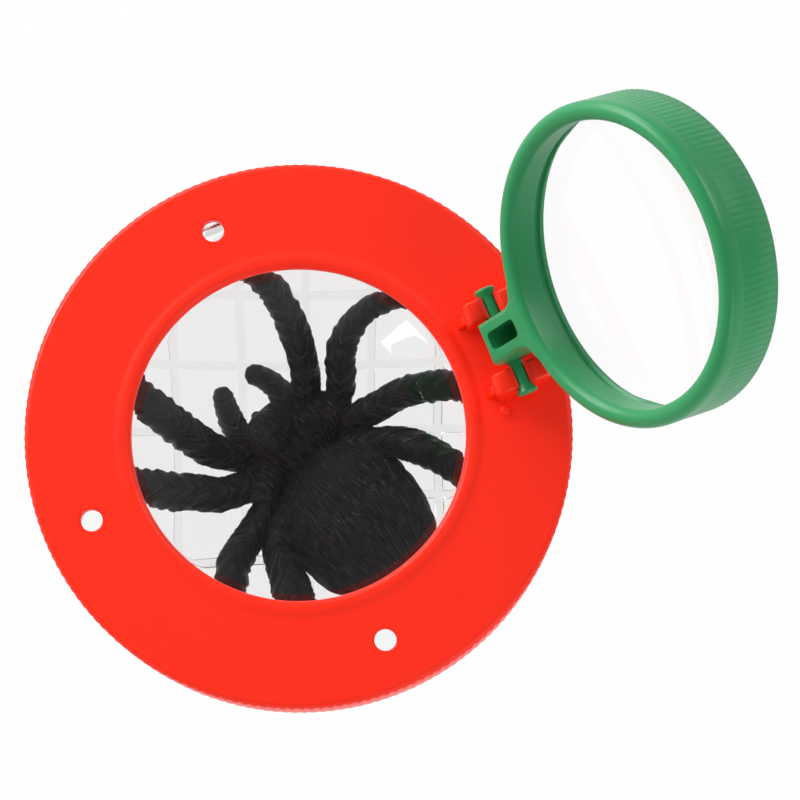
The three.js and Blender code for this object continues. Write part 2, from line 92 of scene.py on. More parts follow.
def colour(default, words):
    return FloatVectorProperty(
        name=words, description=words, default=default, size=3, min=0.0, max=1.0, subtype="COLOR"
    )


# Sizes and colours


class LidSizes(bpy.types.PropertyGroup):
    radius: length(LID_HIGH[0] / MM, "Radius over the knurl")
    teeth: IntProperty(name="Teeth", description="Teeth of the knurl", default=180, min=3)
    tooth_depth: length(0.1, "Depth of a tooth")
    wall: length(1.7, "Wall of the skirt")
    plate: length(2, "Thickness of the plate")
    skirt: length(14, "Height of the skirt")
    edge_round: length(0.8, "Rounding of the top edge")
    opening: length(25, "Radius of the lens opening")
    lip_width: length(2.9, "Width of the lip round the opening")
    lip_height: length(0.3, "Height of the lip")
    lip_round: length(1.1, "Rounding of the lip towards the lens")
    ledge: length(1.3, "Thickness of the ledge over the lens")
    pocket: length(1.2, "Opening to the wall of the lens pocket")
    collar_wall: length(1.6, "Wall of the collar that holds the lens")
    hole_radius: length(1.65, "Radius of an air hole")
    hole_circle: length(33.4, "Circle of the air holes")
    hole_chamfer: length(0.25, "Chamfer of an air hole")
    stud_radius: length(0.75, "Radius of the stud beside a clip")
    stud_height: length(0.8, "Height of the stud")


class ClipSizes(bpy.types.PropertyGroup):
    base: length(8.4, "Width at the pin's height")
    top: length(7.6, "Width at the top")
    rise: length(1.6, "Height above the pin")
    bore: length(1.4, "Radius of the bore")
    mouth: length(1.8, "Width of the mouth")
    lead_in: length(5.2, "Width of the mouth at its top")
    inner: length(4, "Inner side, from the middle of the hinge")
    outer: length(7.3, "Outer side, from the middle of the hinge")
    bevel: length(0.55, "Rounding of the edges")


class RingSizes(bpy.types.PropertyGroup):
    radius: length(23.5, "Outer radius")
    depth: length(9.8, "Depth")
    opening: length(20.7, "Radius of the opening")
    front: length(5.27, "Front face, below the pin")
    teeth: IntProperty(name="Ribs", description="Ribs of the grip", default=144, min=3)
    tooth_depth: length(0.07, "Depth of a rib")
    plain_band: length(3, "Smooth band behind the front")
    seat_depth: length(5.4, "Depth of the lens seat")
    seat: length(22.2, "Radius of the lens seat")
    ledge: length(1.05, "Width of the ledge under the lens")
    arm_width: length(6.4, "Width of the arm")
    arm_boss: length(1.8, "Radius of the arm round the pin")
    arm_nose: length(1.7, "Start of the arm's flat front")
    arm_fillet: length(2.5, "Fillet between arm and ring")
    arm_round: length(0.8, "Rounding of the arm's edges")
    pocket_start: length(2.9, "Pocket of the arm, from the pin")
    pocket_length: length(6.9, "Length of the pocket")
    pocket_width: length(2.8, "Width of the pocket")
    pocket_floor: length(1.5, "Thickness of the pocket's floor")
    pin: length(1.1, "Radius of the pin")
    pin_half: length(8.5, "Half length of the pin")
    head: length(1.6, "Radius of the pin's heads")
    head_length: length(0.9, "Length of a head")


class LensSizes(bpy.types.PropertyGroup):
    rim: length(1.5, "Thickness of a lens at its rim")
    lid_dome: length(25.3, "Radius inside the flat rim of the lid's lens")
    lid_top: length(56, "Curve of the top of the lid's lens")
    lid_bottom: length(700, "Curve of the underside of the lid's lens")
    flip_top: length(90, "Curve of the back of the ring's lens")
    flip_bottom: length(240, "Curve of the front of the ring's lens")


class PotSizes(bpy.types.PropertyGroup):
    neck: length(37.4, "Radius of the neck")
    height: length(JAR_HIGH[2] / MM, "Height")
    wall: length(1.8, "Wall")
    floor: length(2, "Thickness of the floor")
    taper: length(1.4, "Taper from neck to base")
    foot_round: length(2, "Rounding of the foot")
    stop_width: length(1.9, "Width of the stop ring")
    stop_height: length(1.4, "Height of the stop ring")
    stop_gap: length(0.8, "Stop ring below the skirt")
    grid_step: length(5, "Spacing of the grid")
    grid_rib: length(0.6, "Width of a rib of the grid")
    grid_height: length(0.45, "Height of a rib of the grid")
    grid_margin: length(6, "Grid to wall")
    thread_pitch: length(4, "Pitch of the screw thread")
    thread_depth: length(1.2, "Depth of the screw thread")


class Finishes(bpy.types.PropertyGroup):
    red: colour((0.97, 0.02, 0.0025), "Lid")
    green: colour((0.019, 0.25, 0.084), "Ring")
    black: colour((0.0052, 0.0048, 0.0052), "Spider")
    clear: colour((0.985, 0.985, 0.985), "Pot and lenses")


class StageSettings(bpy.types.PropertyGroup):
    distance: length(524.7, "Camera to the lid")
    lens: number(158.0, "Focal length in mm")
    ambient: number(0.74, "World's even light on matt surfaces")
    horizon: number(0.5, "World's light at the horizon, in gloss")
    zenith: number(0.04, "World's light overhead, in gloss")
    far_side: number(0.4, "Share of that light behind the ring")
    key_box: length(450, "Width of the box behind the ring")
    key: number(6.0, "Radiance of the box behind the ring")
    fill_box: length(400, "Width of the box across from it")
    fill: number(14.0, "Radiance of the box across from it")
    back_box: length(400, "Width of the box above the picture")
    back: number(8.0, "Radiance of the box above the picture")
    low_box: length(500, "Width of the box below the picture")
    low: number(3.0, "Radiance of the box below the picture")


# Meshes


def new_object(name, data):
    made = bpy.data.objects.new(name, data)
    bpy.context.scene.collection.objects.link(made)
    return made


def mesh_piece(name, verts, faces, material, smooth=30.0):
    """Object of a mesh in the row's frame, with edges sharper than `smooth` degrees kept."""
    mesh = bpy.data.meshes.new(name)
    mesh.from_pydata([tuple(v) for v in verts], [], faces)
    mesh.validate()
    mesh.materials.append(material)
    piece = new_object(name, mesh)
    smooth_by_angle(piece, smooth)
    return piece


def smooth_by_angle(piece, degrees):
    piece.data.polygons.foreach_set("use_smooth", [True] * len(piece.data.polygons))
    piece.data.set_sharp_from_angle(angle=math.radians(degrees))


def arc(r, z, radius, start, end, steps=8):
    """(radius, height) points of an arc, between two angles in degrees."""
    points = []
    for i in range(steps + 1):
        angle = math.radians(start + (end - start) * i / steps)
        points.append((r + radius * math.cos(angle), z + radius * math.sin(angle)))
    return points


def lathe(name, profile, segments, material, smooth=30.0):
    """Piece of a closed profile turned about Z. Points on the axis become poles."""
    verts, rings, faces = [], [], []
    for r, z in profile:
        if r < 1e-7:
            rings.append([len(verts)])
            verts.append((0.0, 0.0, z))
            continue
        rings.append(list(range(len(verts), len(verts) + segments)))
        for i in range(segments):
            angle = FULL * i / segments
            verts.append((r * math.cos(angle), r * math.sin(angle), z))
    pairs = list(zip(rings, rings[1:]))
    if len(rings[0]) > 1:
        pairs.append((rings[-1], rings[0]))
    for low, high in pairs:
        for i in range(segments):
            j = (i + 1) % segments
            if len(low) == 1:
                faces.append((low[0], high[j], high[i]))
            elif len(high) == 1:
                faces.append((low[i], low[j], high[0]))
            else:
                faces.append((low[i], low[j], high[j], high[i]))
    return mesh_piece(name, verts, faces, material, smooth)


def tube_faces(rows, sides):
    """Faces between rows of vertices that each run once round."""
    faces = []
    for i in range(rows - 1):
        for k in range(sides):
            a, b = i * sides + k, i * sides + (k + 1) % sides
            faces.append((a, b, b + sides, a + sides))
    return faces


def closed_piece(name, verts, faces, material):
    """Piece of a closed mesh, with its faces turned outwards."""
    piece = mesh_piece(name, verts, faces, material)
    with edited(piece.data) as work:
        bmesh.ops.recalc_face_normals(work, faces=work.faces)
    return piece


def prism(name, outline, near, far, material):
    """Closed prism of an XZ outline between two places along Y."""
    count = len(outline)
    verts = [(x, y, z) for y in (near, far) for x, z in outline]
    faces = [tuple(range(count)), tuple(reversed(range(count, 2 * count)))]
    for i in range(count):
        j = (i + 1) % count
        faces.append((j, i, i + count, j + count))
    return closed_piece(name, verts, faces, material)


@contextmanager
def edited(mesh):
    """Edit mesh of `mesh`, which is written back at the end."""
    work = bmesh.new()
    work.from_mesh(mesh)
    yield work
    work.to_mesh(mesh)
    work.free()


def rounded(piece, width, segments, limit=32):
    """Rounds a piece's edges that turn by more than `limit` degrees."""
    bevel = piece.modifiers.new("Rounding", "BEVEL")
    bevel.width = width
    bevel.segments = segments
    bevel.limit_method = "ANGLE"
    bevel.angle_limit = math.radians(limit)
    bevel.use_clamp_overlap = False
    bake_modifiers(piece)
    smooth_by_angle(piece, 40)


def bake_modifiers(piece):
    """Turns a piece and its modifiers into a plain mesh."""
    bpy.context.view_layer.update()
    graph = bpy.context.evaluated_depsgraph_get()
    made = bpy.data.meshes.new_from_object(piece.evaluated_get(graph))
    old = piece.data
    piece.modifiers.clear()
    piece.data = made
    bpy.data.meshes.remove(old)


def cut(piece, tool, operation="DIFFERENCE"):
    """Cuts a closed piece by another, or to what both share. The other is used up."""
    boolean = piece.modifiers.new("Cut", "BOOLEAN")
    boolean.operation = operation
    boolean.solver = "EXACT"
    boolean.object = tool
    bake_modifiers(piece)
    drop(tool)


def drop(piece):
    mesh = piece.data
    bpy.data.objects.remove(piece)
    bpy.data.meshes.remove(mesh)


def placed(piece, matrix):
    piece.data.transform(matrix)
    return piece


def moved(piece, offset):
    return placed(piece, Matrix.Translation(offset))


def joined(piece, others):
    """Adds the meshes of other pieces, which are used up, to a piece."""
    with edited(piece.data) as work:
        for other in others:
            work.from_mesh(other.data)
    for other in others:
        drop(other)


def settle(piece, body, node):
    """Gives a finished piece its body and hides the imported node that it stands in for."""
    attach(piece, body)
    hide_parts(node)


# Node trees for what repeats


def new_tree(name, kind, inputs, outputs):
    """Node tree with inputs given as (label, data, default), and its input sockets."""
    tree = bpy.data.node_groups.new(name, kind)
    sockets = {}
    for label, data, value in inputs:
        socket = tree.interface.new_socket(label, in_out="INPUT", socket_type=f"NodeSocket{data}")
        if value is not None:
            socket.default_value = value
        sockets[label] = socket
    for label, data in outputs:
        tree.interface.new_socket(label, in_out="OUTPUT", socket_type=f"NodeSocket{data}")
    return tree, sockets


def wire(node, inputs):
    """Gives inputs their sources: sockets, nodes by their first output, or plain values."""
    for key, source in inputs.items():
        if isinstance(source, bpy.types.Node):
            source = source.outputs[0]
        if isinstance(source, bpy.types.NodeSocket):
            node.id_data.links.new(source, node.inputs[key])
        else:
            node.inputs[key].default_value = source
    return node


def add(tree, kind, inputs=None, **settings):
    """Adds a node with its settings and wires its inputs."""
    node = tree.nodes.new(kind)
    for key, value in settings.items():
        setattr(node, key, value)
    return wire(node, inputs or {})


def maths(tree, operation, *values):
    """Adds a Math node on sources or plain values."""
    return add(tree, "ShaderNodeMath", dict(enumerate(values)), operation=operation)


def between(tree, value, low, high, start=0.0):
    """Node that turns a value from `start` to 1 into one from `low` to `high`."""
    inputs = {"Value": value, "From Min": start, "To Min": low, "To Max": high}
    return add(tree, "ShaderNodeMapRange", inputs)


def rib_circle_tree():
    """Tree that repeats the input mesh round Z, with its +X side facing outwards."""
    tree, sockets = new_tree(
        "Rib circle",
        "GeometryNodeTree",
        [
            ("Geometry", "Geometry", None),
            ("Count", "Int", 12),
            ("Radius", "Float", 0.01),
            ("Material", "Material", None),
        ],
        [("Geometry", "Geometry")],
    )
    given = add(tree, "NodeGroupInput").outputs
    inputs = {"Vertices": given["Count"], "Radius": given["Radius"]}
    circle = add(tree, "GeometryNodeMeshCircle", inputs)
    way = {"Vector": add(tree, "GeometryNodeInputPosition")}
    facing = add(tree, "FunctionNodeAlignRotationToVector", way, axis="X", pivot_axis="Z")
    inputs = {"Points": circle, "Instance": given["Geometry"], "Rotation": facing}
    copies = add(tree, "GeometryNodeInstanceOnPoints", inputs)
    real = add(tree, "GeometryNodeRealizeInstances", {"Geometry": copies})
    inputs = {"Geometry": real, "Material": given["Material"]}
    add(tree, "NodeGroupOutput", {0: add(tree, "GeometryNodeSetMaterial", inputs)})
    return tree, sockets


def run_tree(piece, tree, sockets, values):
    """Runs a tree on a piece and keeps its result as the piece's mesh."""
    modifier = piece.modifiers.new(tree.name, "NODES")
    modifier.node_group = tree
    for label, value in values.items():
        modifier[sockets[label].identifier] = value
    bake_modifiers(piece)


def rib_band(name, sizes, low, high, material, sink, fade):
    """Band of rounded ribs round Z, sunk into the wall that carries them."""
    depth = sizes.tooth_depth
    half = math.pi * sizes.radius / sizes.teeth
    crest = [(-sink, -half), (0.0, -half), (depth * 0.62, -half * 0.52), (depth, -half * 0.16)]
    crest += [(x, -y) for x, y in reversed(crest)]
    size = len(crest)
    verts = []
    for z, share in ((low, 0.0), (low + fade, 1.0), (high - depth, 1.0), (high, 0.0)):
        verts += [(x * share if x > 0 else x, y, z) for x, y in crest]
    ends = [tuple(reversed(range(size))), tuple(range(3 * size, 4 * size))]
    band = mesh_piece(name, verts, tube_faces(4, size) + ends, material)
    tree, sockets = rib_circle_tree()
    values = {"Count": sizes.teeth, "Radius": sizes.radius - depth, "Material": material}
    run_tree(band, tree, sockets, values)
    smooth_by_angle(band, 50)
    return band


# Finishes


def material_base(name):
    """New material, its tree and its Principled node."""
    material = bpy.data.materials.new(name)
    material.use_nodes = True
    return material, material.node_tree, material.node_tree.nodes["Principled BSDF"]


def show_mix(tree, share, first, second):
    """Shows two shaders, of which the second takes the given share."""
    mix = add(tree, "ShaderNodeMixShader", {0: share, 1: first, 2: second})
    wire(tree.nodes["Material Output"], {"Surface": mix})


def any_ray(tree, names):
    """Source that is 1 on rays of any of the named kinds."""
    path = add(tree, "ShaderNodeLightPath").outputs
    seen = path[names[0]]
    for name in names[1:]:
        seen = maths(tree, "MAXIMUM", seen, path[name])
    return seen


def moulded_grain_group():
    """Group that gives moulded plastic its faint orange-peel surface and uneven sheen."""
    name = "Moulded grain"
    if name in bpy.data.node_groups:
        return bpy.data.node_groups[name]
    tree, _ = new_tree(
        name,
        "ShaderNodeTree",
        [
            ("Scale", "Float", 900.0),
            ("Sheen", "Float", 0.38),
            ("Spread", "Float", 0.08),
            ("Tint", "Float", 0.04),
            ("Colour", "Color", (1, 1, 1, 1)),
        ],
        [("Colour", "Color"), ("Roughness", "Float"), ("Height", "Float")],
    )
    given = add(tree, "NodeGroupInput").outputs
    place = add(tree, "ShaderNodeTexCoord").outputs["Object"]
    fine, broad = [
        add(tree, "ShaderNodeTexNoise", {"Vector": place, "Scale": scale, "Detail": detail})
        for scale, detail in ((given["Scale"], 3.0), (55.0, 2.0))
    ]
    rough = maths(tree, "MULTIPLY_ADD", broad, given["Spread"], given["Sheen"])
    dim = maths(tree, "MULTIPLY", broad, given["Tint"])
    shade = add(
        tree,
        "ShaderNodeMix",
        {"Factor": dim, 6: given["Colour"], 7: (0.6, 0.6, 0.6, 1)},
        data_type="RGBA",
        blend_type="MULTIPLY",
    )
    add(
        tree, "NodeGroupOutput", {"Colour": shade.outputs[2], "Roughness": rough, "Height": fine}
    )
    return tree


def satin_plastic(name, tint, sheen, shine):
    """Opaque moulded plastic."""
    material, tree, shader = material_base(name)
    group, inputs = moulded_grain_group(), {"Colour": (*tint, 1), "Sheen": sheen}
    grain = add(tree, "ShaderNodeGroup", inputs, node_tree=group).outputs
    inputs = {"Height": grain["Height"], "Strength": 0.06, "Distance": 0.02 * MM}
    bump = add(tree, "ShaderNodeBump", inputs)
    inputs = {"Base Color": grain["Colour"], "Roughness": grain["Roughness"], "Normal": bump}
    wire(shader, {**inputs, "Specular IOR Level": shine})
    return material


def clear_plastic(name, tint, roughness, passing, ior=1.49):
    """Clear plastic that refracts, and passes the light of lamps and of lit surfaces unbent."""
    material, tree, shader = material_base(name)
    inputs = {"Base Color": (*tint, 1), "Roughness": roughness, "IOR": ior}
    wire(shader, {**inputs, "Transmission Weight": 1.0})
    through = add(tree, "ShaderNodeBsdfTransparent", {"Color": (passing, passing, passing, 1)})
    show_mix(tree, any_ray(tree, ("Is Shadow Ray", "Is Diffuse Ray")), shader, through)
    return material


def hairy_rubber(name, tint):
    """Dark rubber with fine hair that runs along each limb, by the mesh's own UV map. The hair
    noise also paints its colour: painted highlight on the streaks and painted shade between them.
    """
    material, tree, shader = material_base(name)
    flow = add(tree, "ShaderNodeUVMap", uv_map=HAIR_MAP)
    stretch = add(tree, "ShaderNodeMapping", {"Vector": flow, "Scale": (0.8, 4.5, 1.0)})
    inputs = {"Vector": stretch, "Scale": 1.0, "Detail": 4.0, "Roughness": 0.6}
    hair = add(tree, "ShaderNodeTexNoise", inputs)
    # Colour painted from 0.1 to 4.5 times the tint along the hair noise: painted highlight on the
    # hair streaks and painted shade between them. The same noise gives the real bump.
    painted_hair_highlight = add(tree, "ShaderNodeValToRGB", {0: hair})
    for stop, place, share in zip(painted_hair_highlight.color_ramp.elements, (0.42, 0.68), (0.1, 4.5)):
        stop.position = place
        stop.color = (*[c * share for c in tint], 1)
    bump = add(tree, "ShaderNodeBump", {"Height": hair, "Strength": 1.0, "Distance": 1.3 * MM})
    inputs = {"Base Color": painted_hair_highlight, "Normal": bump, "Roughness": 0.27}
    wire(shader, {**inputs, "Specular IOR Level": 0.26})
    return material


# Pot


def pot_profile(pot, lid_low):
    """Section of the pot from the middle of its foot, over the rim, to the middle of its floor."""
    ring_top = lid_low - pot.stop_gap
    ring_low = ring_top - pot.stop_height
    base = pot.neck - pot.taper
    inner = base - pot.wall
    rim = pot.wall / 2
    half = pot.stop_height / 2
    return [
        (0.0, 0.0),
        *arc(base - pot.foot_round, pot.foot_round, pot.foot_round, -90, 0),
        (pot.neck, ring_low - pot.stop_width),
        (pot.neck + 0.6 * pot.stop_width, ring_low - 0.4 * pot.stop_width),
        *arc(pot.neck + pot.stop_width - half, ring_top - half, half, -75, 90, 6),
        (pot.neck, ring_top),
        (pot.neck, pot.height - rim),
        *arc(pot.neck - rim, pot.height - rim, rim, 0, 180, 12)[1:-1],
        (pot.neck - pot.wall, pot.height - rim),
        (pot.neck - pot.wall, ring_low),
        *arc(inner - pot.foot_round, pot.floor + pot.foot_round, pot.foot_round, 0, -90),
        (0.0, pot.floor),
    ]


def grid_lines(pot, reach, offset):
    """Places across the grid of its ribs' two edges, between its own edges."""
    lines = []
    count = int(reach / pot.grid_step) + 1
    for i in range(-count, count + 1):
        middle = offset + i * pot.grid_step
        if abs(middle) < reach - pot.grid_step / 4:
            lines += [middle - pot.grid_rib / 2, middle + pot.grid_rib / 2]
    return [-reach, *lines, reach]


def grid_lattice(pot, reach, material):
    """Round lattice of the measuring grid as one closed mesh that stands on z = 0."""
    columns, rows = [grid_lines(pot, reach, offset) for offset in GRID_SHIFT]
    verts = [(x, y, 0.0) for x in columns for y in rows]
    faces = []
    for i in range(len(columns) - 1):
        for j in range(len(rows) - 1):
            if i % 2 or j % 2:
                a = i * len(rows) + j
                b = a + len(rows)
                faces.append((a, b, b + 1, a + 1))
    lattice = mesh_piece("measuring_grid", verts, faces, material)
    with edited(lattice.data) as work:
        raised = bmesh.ops.extrude_face_region(work, geom=list(work.faces))
        top = [v for v in raised["geom"] if isinstance(v, bmesh.types.BMVert)]
        bmesh.ops.translate(work, verts=top, vec=(0, 0, pot.grid_height))
        loose = [v for v in work.verts if not v.link_faces]
        bmesh.ops.delete(work, geom=loose, context="VERTS")
        bmesh.ops.recalc_face_normals(work, faces=work.faces)
    rounded(lattice, 0.05 * MM, 2)
    edge = reach * 0.999
    disc = [(0, -reach), (edge, -reach), (edge, reach), (0, reach)]
    cut(lattice, lathe("grid_disc", disc, 128, material), "INTERSECT")
    return placed(lattice, Matrix.Rotation(math.radians(GRID_TURN), 4, "Z"))


def screw_thread(name, pot, radius, low, material, inward=False, steps=160):
    """One start of a right-handed screw thread, fading out at both ends."""
    side = -1 if inward else 1
    pitch, fading = pot.thread_pitch, 8
    verts = []
    for i in range(steps + 1):
        share = i / steps
        angle = FULL * THREAD_TURNS * share
        fade = min(1.0, fading * share, fading * (1 - share)) ** 0.5
        z = low + pitch * THREAD_TURNS * share
        crest = radius + side * pot.thread_depth * fade
        root = radius - side * THREAD_SUNK
        wide, thin = pitch * 0.26 * max(fade, 0.2), pitch * 0.1 * max(fade, 0.2)
        for r, dz in ((root, -wide), (crest, -thin), (crest, thin), (root, wide)):
            verts.append((r * math.cos(angle), r * math.sin(angle), z + dz))
    ends = [(0, 1, 2, 3), tuple(4 * steps + k for k in (3, 2, 1, 0))]
    return closed_piece(name, verts, tube_faces(steps + 1, 4) + ends, material)


class VIEWER_OT_pot(bpy.types.Operator):
    """Makes the clear pot with its grid and its screw thread"""

    bl_idname = "viewer.pot"
    bl_label = "Pot"

    def execute(self, context):
        pot = context.scene.viewer_pot
        clear = clear_plastic("Clear plastic", context.scene.viewer_finishes.clear, 0.02, 0.985)
        faint = clear_plastic("Grid plastic", (1, 1, 1), 0.0, 1.0)
        shell = lathe("pot", pot_profile(pot, LID_LOW[2]), 256, clear)
        reach = pot.neck - pot.taper - pot.wall - pot.grid_margin
        lattice = grid_lattice(pot, reach, faint)
        moved(lattice, (0, 0, pot.floor + GRID_LIFT))
        low = pot.height - 2.2 * pot.thread_pitch
        thread = screw_thread("pot_thread", pot, pot.neck, low, clear)
        for piece in (shell, lattice, thread):
            settle(piece, "pot", "jar")
        return {"FINISHED"}


# Lid


def lid_profile(lid, top):
    """Section of the lid from the foot of its skirt, over the plate and down to its bore."""
    root = lid.radius - lid.tooth_depth
    bore = root - lid.wall
    low, under = top - lid.skirt, top - lid.plate
    pocket = lid.opening + lid.pocket
    collar = pocket + lid.collar_wall
    foot, crest = lid.opening + lid.lip_width, lid.opening + lid.lip_round + lid.lip_height
    lip_middle = top + lid.lip_height - lid.lip_round
    slope, steps = [], 10
    for i in range(steps):
        share = i / steps
        rise = lid.lip_height * (1 - math.cos(math.pi * share)) / 2
        slope.append((foot + (crest - foot) * share, top + rise))
    bead, bead_height = top - lid.ledge - BEAD_GAP, 1 * MM
    reach = pocket - 0.7 * MM
    inner_fillet, outer_fillet = 0.5 * MM, 0.8 * MM
    return [
        (root - SOFT, low),
        (root, low + SOFT),
        *arc(root - lid.edge_round, top - lid.edge_round, lid.edge_round, 0, 90),
        *slope,
        *arc(lid.opening + lid.lip_round, lip_middle, lid.lip_round, 90, 180, 10),
        (lid.opening, top - lid.ledge),
        (pocket, top - lid.ledge),
        (pocket, bead),
        (reach, bead - 0.33 * bead_height),
        (reach, bead - 0.66 * bead_height),
        (pocket, bead - bead_height),
        (collar, bead - bead_height),
        *arc(collar + inner_fillet, under - inner_fillet, inner_fillet, 180, 90, 4),
        *arc(bore - outer_fillet, under - outer_fillet, outer_fillet, 90, 0, 5),
        (bore, low + SOFT),
        (bore + SOFT, low),
    ]


def hole_profile(lid):
    """Section of the drill of an air hole, with its chamfer at z = 0."""
    over, narrow, wide = 3 * MM, lid.hole_radius, lid.hole_radius + lid.hole_chamfer
    heights = (-over, -over, -lid.hole_chamfer, 0, over, over)
    return list(zip((0, narrow, narrow, wide, wide, 0), heights))


def stud_profile(lid):
    """Section of the stud beside a clip, sunk into the plate."""
    soft = 0.4 * MM
    return [
        (0, -OVER),
        (lid.stud_radius, -OVER),
        *arc(lid.stud_radius - soft, lid.stud_height - soft, soft, 0, 90, 5),
        (0, lid.stud_height),
    ]


def hinge_clips(clip, red, height):
    """Both clips with their buttresses, sunk into the lid's plate."""
    low = -height - OVER
    half, tip = clip.base / 2, clip.top / 2
    block = [(-half, low), (half, low), (half, 0), (tip, clip.rise), (-tip, clip.rise), (-half, 0)]
    brace_reach, brace_top, brace_half = 1.3 * MM, 2.6 * MM - height, 0.7 * MM
    brace = [
        (-half - brace_reach, low),
        (-half + 0.6 * MM, low),
        (-half + 0.6 * MM, brace_top),
        (-half - 0.2 * MM, brace_top),
        (-half - brace_reach, 0.2 * MM - height),
    ]
    half_mouth = math.degrees(math.asin(clip.mouth / 2 / clip.bore))
    flare = clip.lead_in / 2 + OVER * (clip.lead_in - clip.mouth) / 2 / clip.rise
    mouth = [
        (flare, clip.rise + OVER),
        *arc(0, 0, clip.bore, 90 - half_mouth, 90 + half_mouth - 360, 28),
        (-flare, clip.rise + OVER),
    ]
    made = []
    for side in (-1, 1):
        near, far = sorted((side * clip.inner, side * clip.outer))
        prongs = prism("prongs", block, near, far, red)
        rounded(prongs, clip.bevel, 4)
        cut(prongs, prism("mouth", mouth, near - OVER, far + OVER, red))
        smooth_by_angle(prongs, 35)
        middle = (near + far) / 2
        buttress = prism("buttress", brace, middle - brace_half, middle + brace_half, red)
        rounded(buttress, clip.bevel / 2, 3)
        made += [prongs, buttress]
    return [moved(piece, PIN) for piece in made]


class VIEWER_OT_lid(bpy.types.Operator):
    """Makes the red lid with its knurl, air holes, lens collar, hinge clips and thread"""

    bl_idname = "viewer.lid"
    bl_label = "Lid"

    def execute(self, context):
        scene = context.scene
        lid, clip, pot = scene.viewer_lid, scene.viewer_clip, scene.viewer_pot
        red = satin_plastic("Red plastic", scene.viewer_finishes.red, 0.36, 0.25)
        top = LID_LOW[2] + lid.skirt
        shell = lathe("lid_shell", lid_profile(lid, top), 360, red)
        for turn in (90, 180, 270):
            centre = Vector((lid.hole_circle, 0, top))
            centre.rotate(Matrix.Rotation(math.radians(turn), 3, "Z"))
            cut(shell, moved(lathe("drill", hole_profile(lid), 48, red), centre))
        smooth_by_angle(shell, 35)
        low, high = LID_LOW[2] + 0.8 * MM, top - lid.edge_round * 0.7
        knurl = rib_band("lid_knurl", lid, low, high, red, 0.3 * MM, lid.tooth_depth)
        bore = lid.radius - lid.tooth_depth - lid.wall
        low = pot.height - 2.7 * pot.thread_pitch
        thread = screw_thread("lid_thread", pot, bore, low, red, inward=True)
        stud = moved(lathe("stud", stud_profile(lid), 32, red), (*STUD_PLACE, top))
        joined(shell, [knurl, thread, stud, *hinge_clips(clip, red, PIN.z - top)])
        settle(shell, "lid", "lid")
        return {"FINISHED"}


# Lenses


def lens_piece(name, radius, dome, curves, low, high, material):
    """Lens with a dome below and above, inside its flat rim, which lies between two heights."""
    sweeps = [math.degrees(math.asin(dome / curve)) for curve in curves]
    drops = [math.sqrt(curve**2 - dome**2) for curve in curves]
    below = arc(0, low + drops[0], curves[0], -90, sweeps[0] - 90, 24)
    above = arc(0, high - drops[1], curves[1], 90 - sweeps[1], 90, 24)
    soft = 0.15 * MM
    rim = [(radius - soft, low), (radius, low + soft), (radius, high - soft), (radius - soft, high)]
    profile = [(0.0, below[0][1]), *below[1:], *rim, *above[:-1], (0.0, above[-1][1])]
    return lathe(name, profile, 256, material, 12)


def in_ring():
    """Matrix that puts the closed ring's frame, with the pin as origin, to its place at rest."""
    opened = math.radians(-JOINTS["flip"]["range_deg"][0])
    return Matrix.Translation(PIN) @ Matrix.Rotation(opened, 4, "Y")


class VIEWER_OT_lenses(bpy.types.Operator):
    """Makes the lid's lens and the ring's lens"""

    bl_idname = "viewer.lenses"
    bl_label = "Lenses"

    def execute(self, context):
        ring, lens = context.scene.viewer_ring, context.scene.viewer_lens
        glass = clear_plastic("Lens plastic", context.scene.viewer_finishes.clear, 0.0, 0.985)
        thin = clear_plastic("Flip lens plastic", (1, 1, 1), 0.0, 1.0, 1.3)
        sag = lens.lid_top - math.sqrt(lens.lid_top**2 - lens.lid_dome**2)
        low, high = LENS_LOW[2], LENS_HIGH[2] - sag
        curves = (lens.lid_bottom, lens.lid_top)
        big = lens_piece("lid_lens_clear", LENS_HIGH[0], lens.lid_dome, curves, low, high, glass)
        settle(big, "lens_seat", "lid_lens")
        low = -ring.front + ring.seat_depth + 0.3 * MM
        radius, dome = ring.seat + 0.02 * MM, ring.seat - ring.ledge
        curves = (lens.flip_bottom, lens.flip_top)
        small = lens_piece("flip_lens_clear", radius, dome, curves, low, low + lens.rim, thin)
        placed(small, in_ring() @ Matrix.Translation((-PIN.x, 0, 0)))
        settle(small, "flip_ring", "flip_lens")
        return {"FINISHED"}


# Ring


def ring_profile(ring):
    """Section of the ring from its rounded front, over the ribbed side, to the lens's seat."""
    front, back = -ring.front, ring.depth - ring.front
    nose = (ring.radius - ring.opening) / 2
    root = ring.radius - ring.tooth_depth
    seat, step = front + ring.seat_depth, front + ring.plain_band
    bead, bead_height = seat + BEAD_GAP, 0.6 * MM
    chamfer = 0.15 * MM
    return [
        *arc(ring.opening + nose, front + nose, nose, 180, 360, 20),
        (ring.radius, step - SOFT),
        (root, step),
        (root, back - SOFT),
        *arc(root - SOFT, back - SOFT, SOFT, 0, 90, 4)[1:],
        (ring.seat + SOFT, back),
        (ring.seat, back - SOFT),
        (ring.seat, bead + bead_height),
        (ring.seat - 0.5 * MM, bead + bead_height / 2),
        (ring.seat, bead),
        (ring.seat, seat),
        (ring.seat - ring.ledge + chamfer, seat),
        (ring.seat - ring.ledge, seat - chamfer),
    ]


def arm_side(ring, reach):
    """Side view of the arm, with its sloping nose, to past its front."""
    front, soft = -ring.front, ring.arm_round
    slope = math.degrees(math.atan2(-front, ring.arm_boss + ring.arm_nose))
    nose = -ring.arm_nose - soft * math.tan(math.radians(slope / 2))
    return [
        *arc(0, 0, ring.arm_boss, 0, 90, 8),
        (-reach, ring.arm_boss),
        (-reach, front - OVER),
        (nose - OVER, front - OVER),
        *arc(nose, front + soft, soft, -90, slope - 90, 6),
    ]


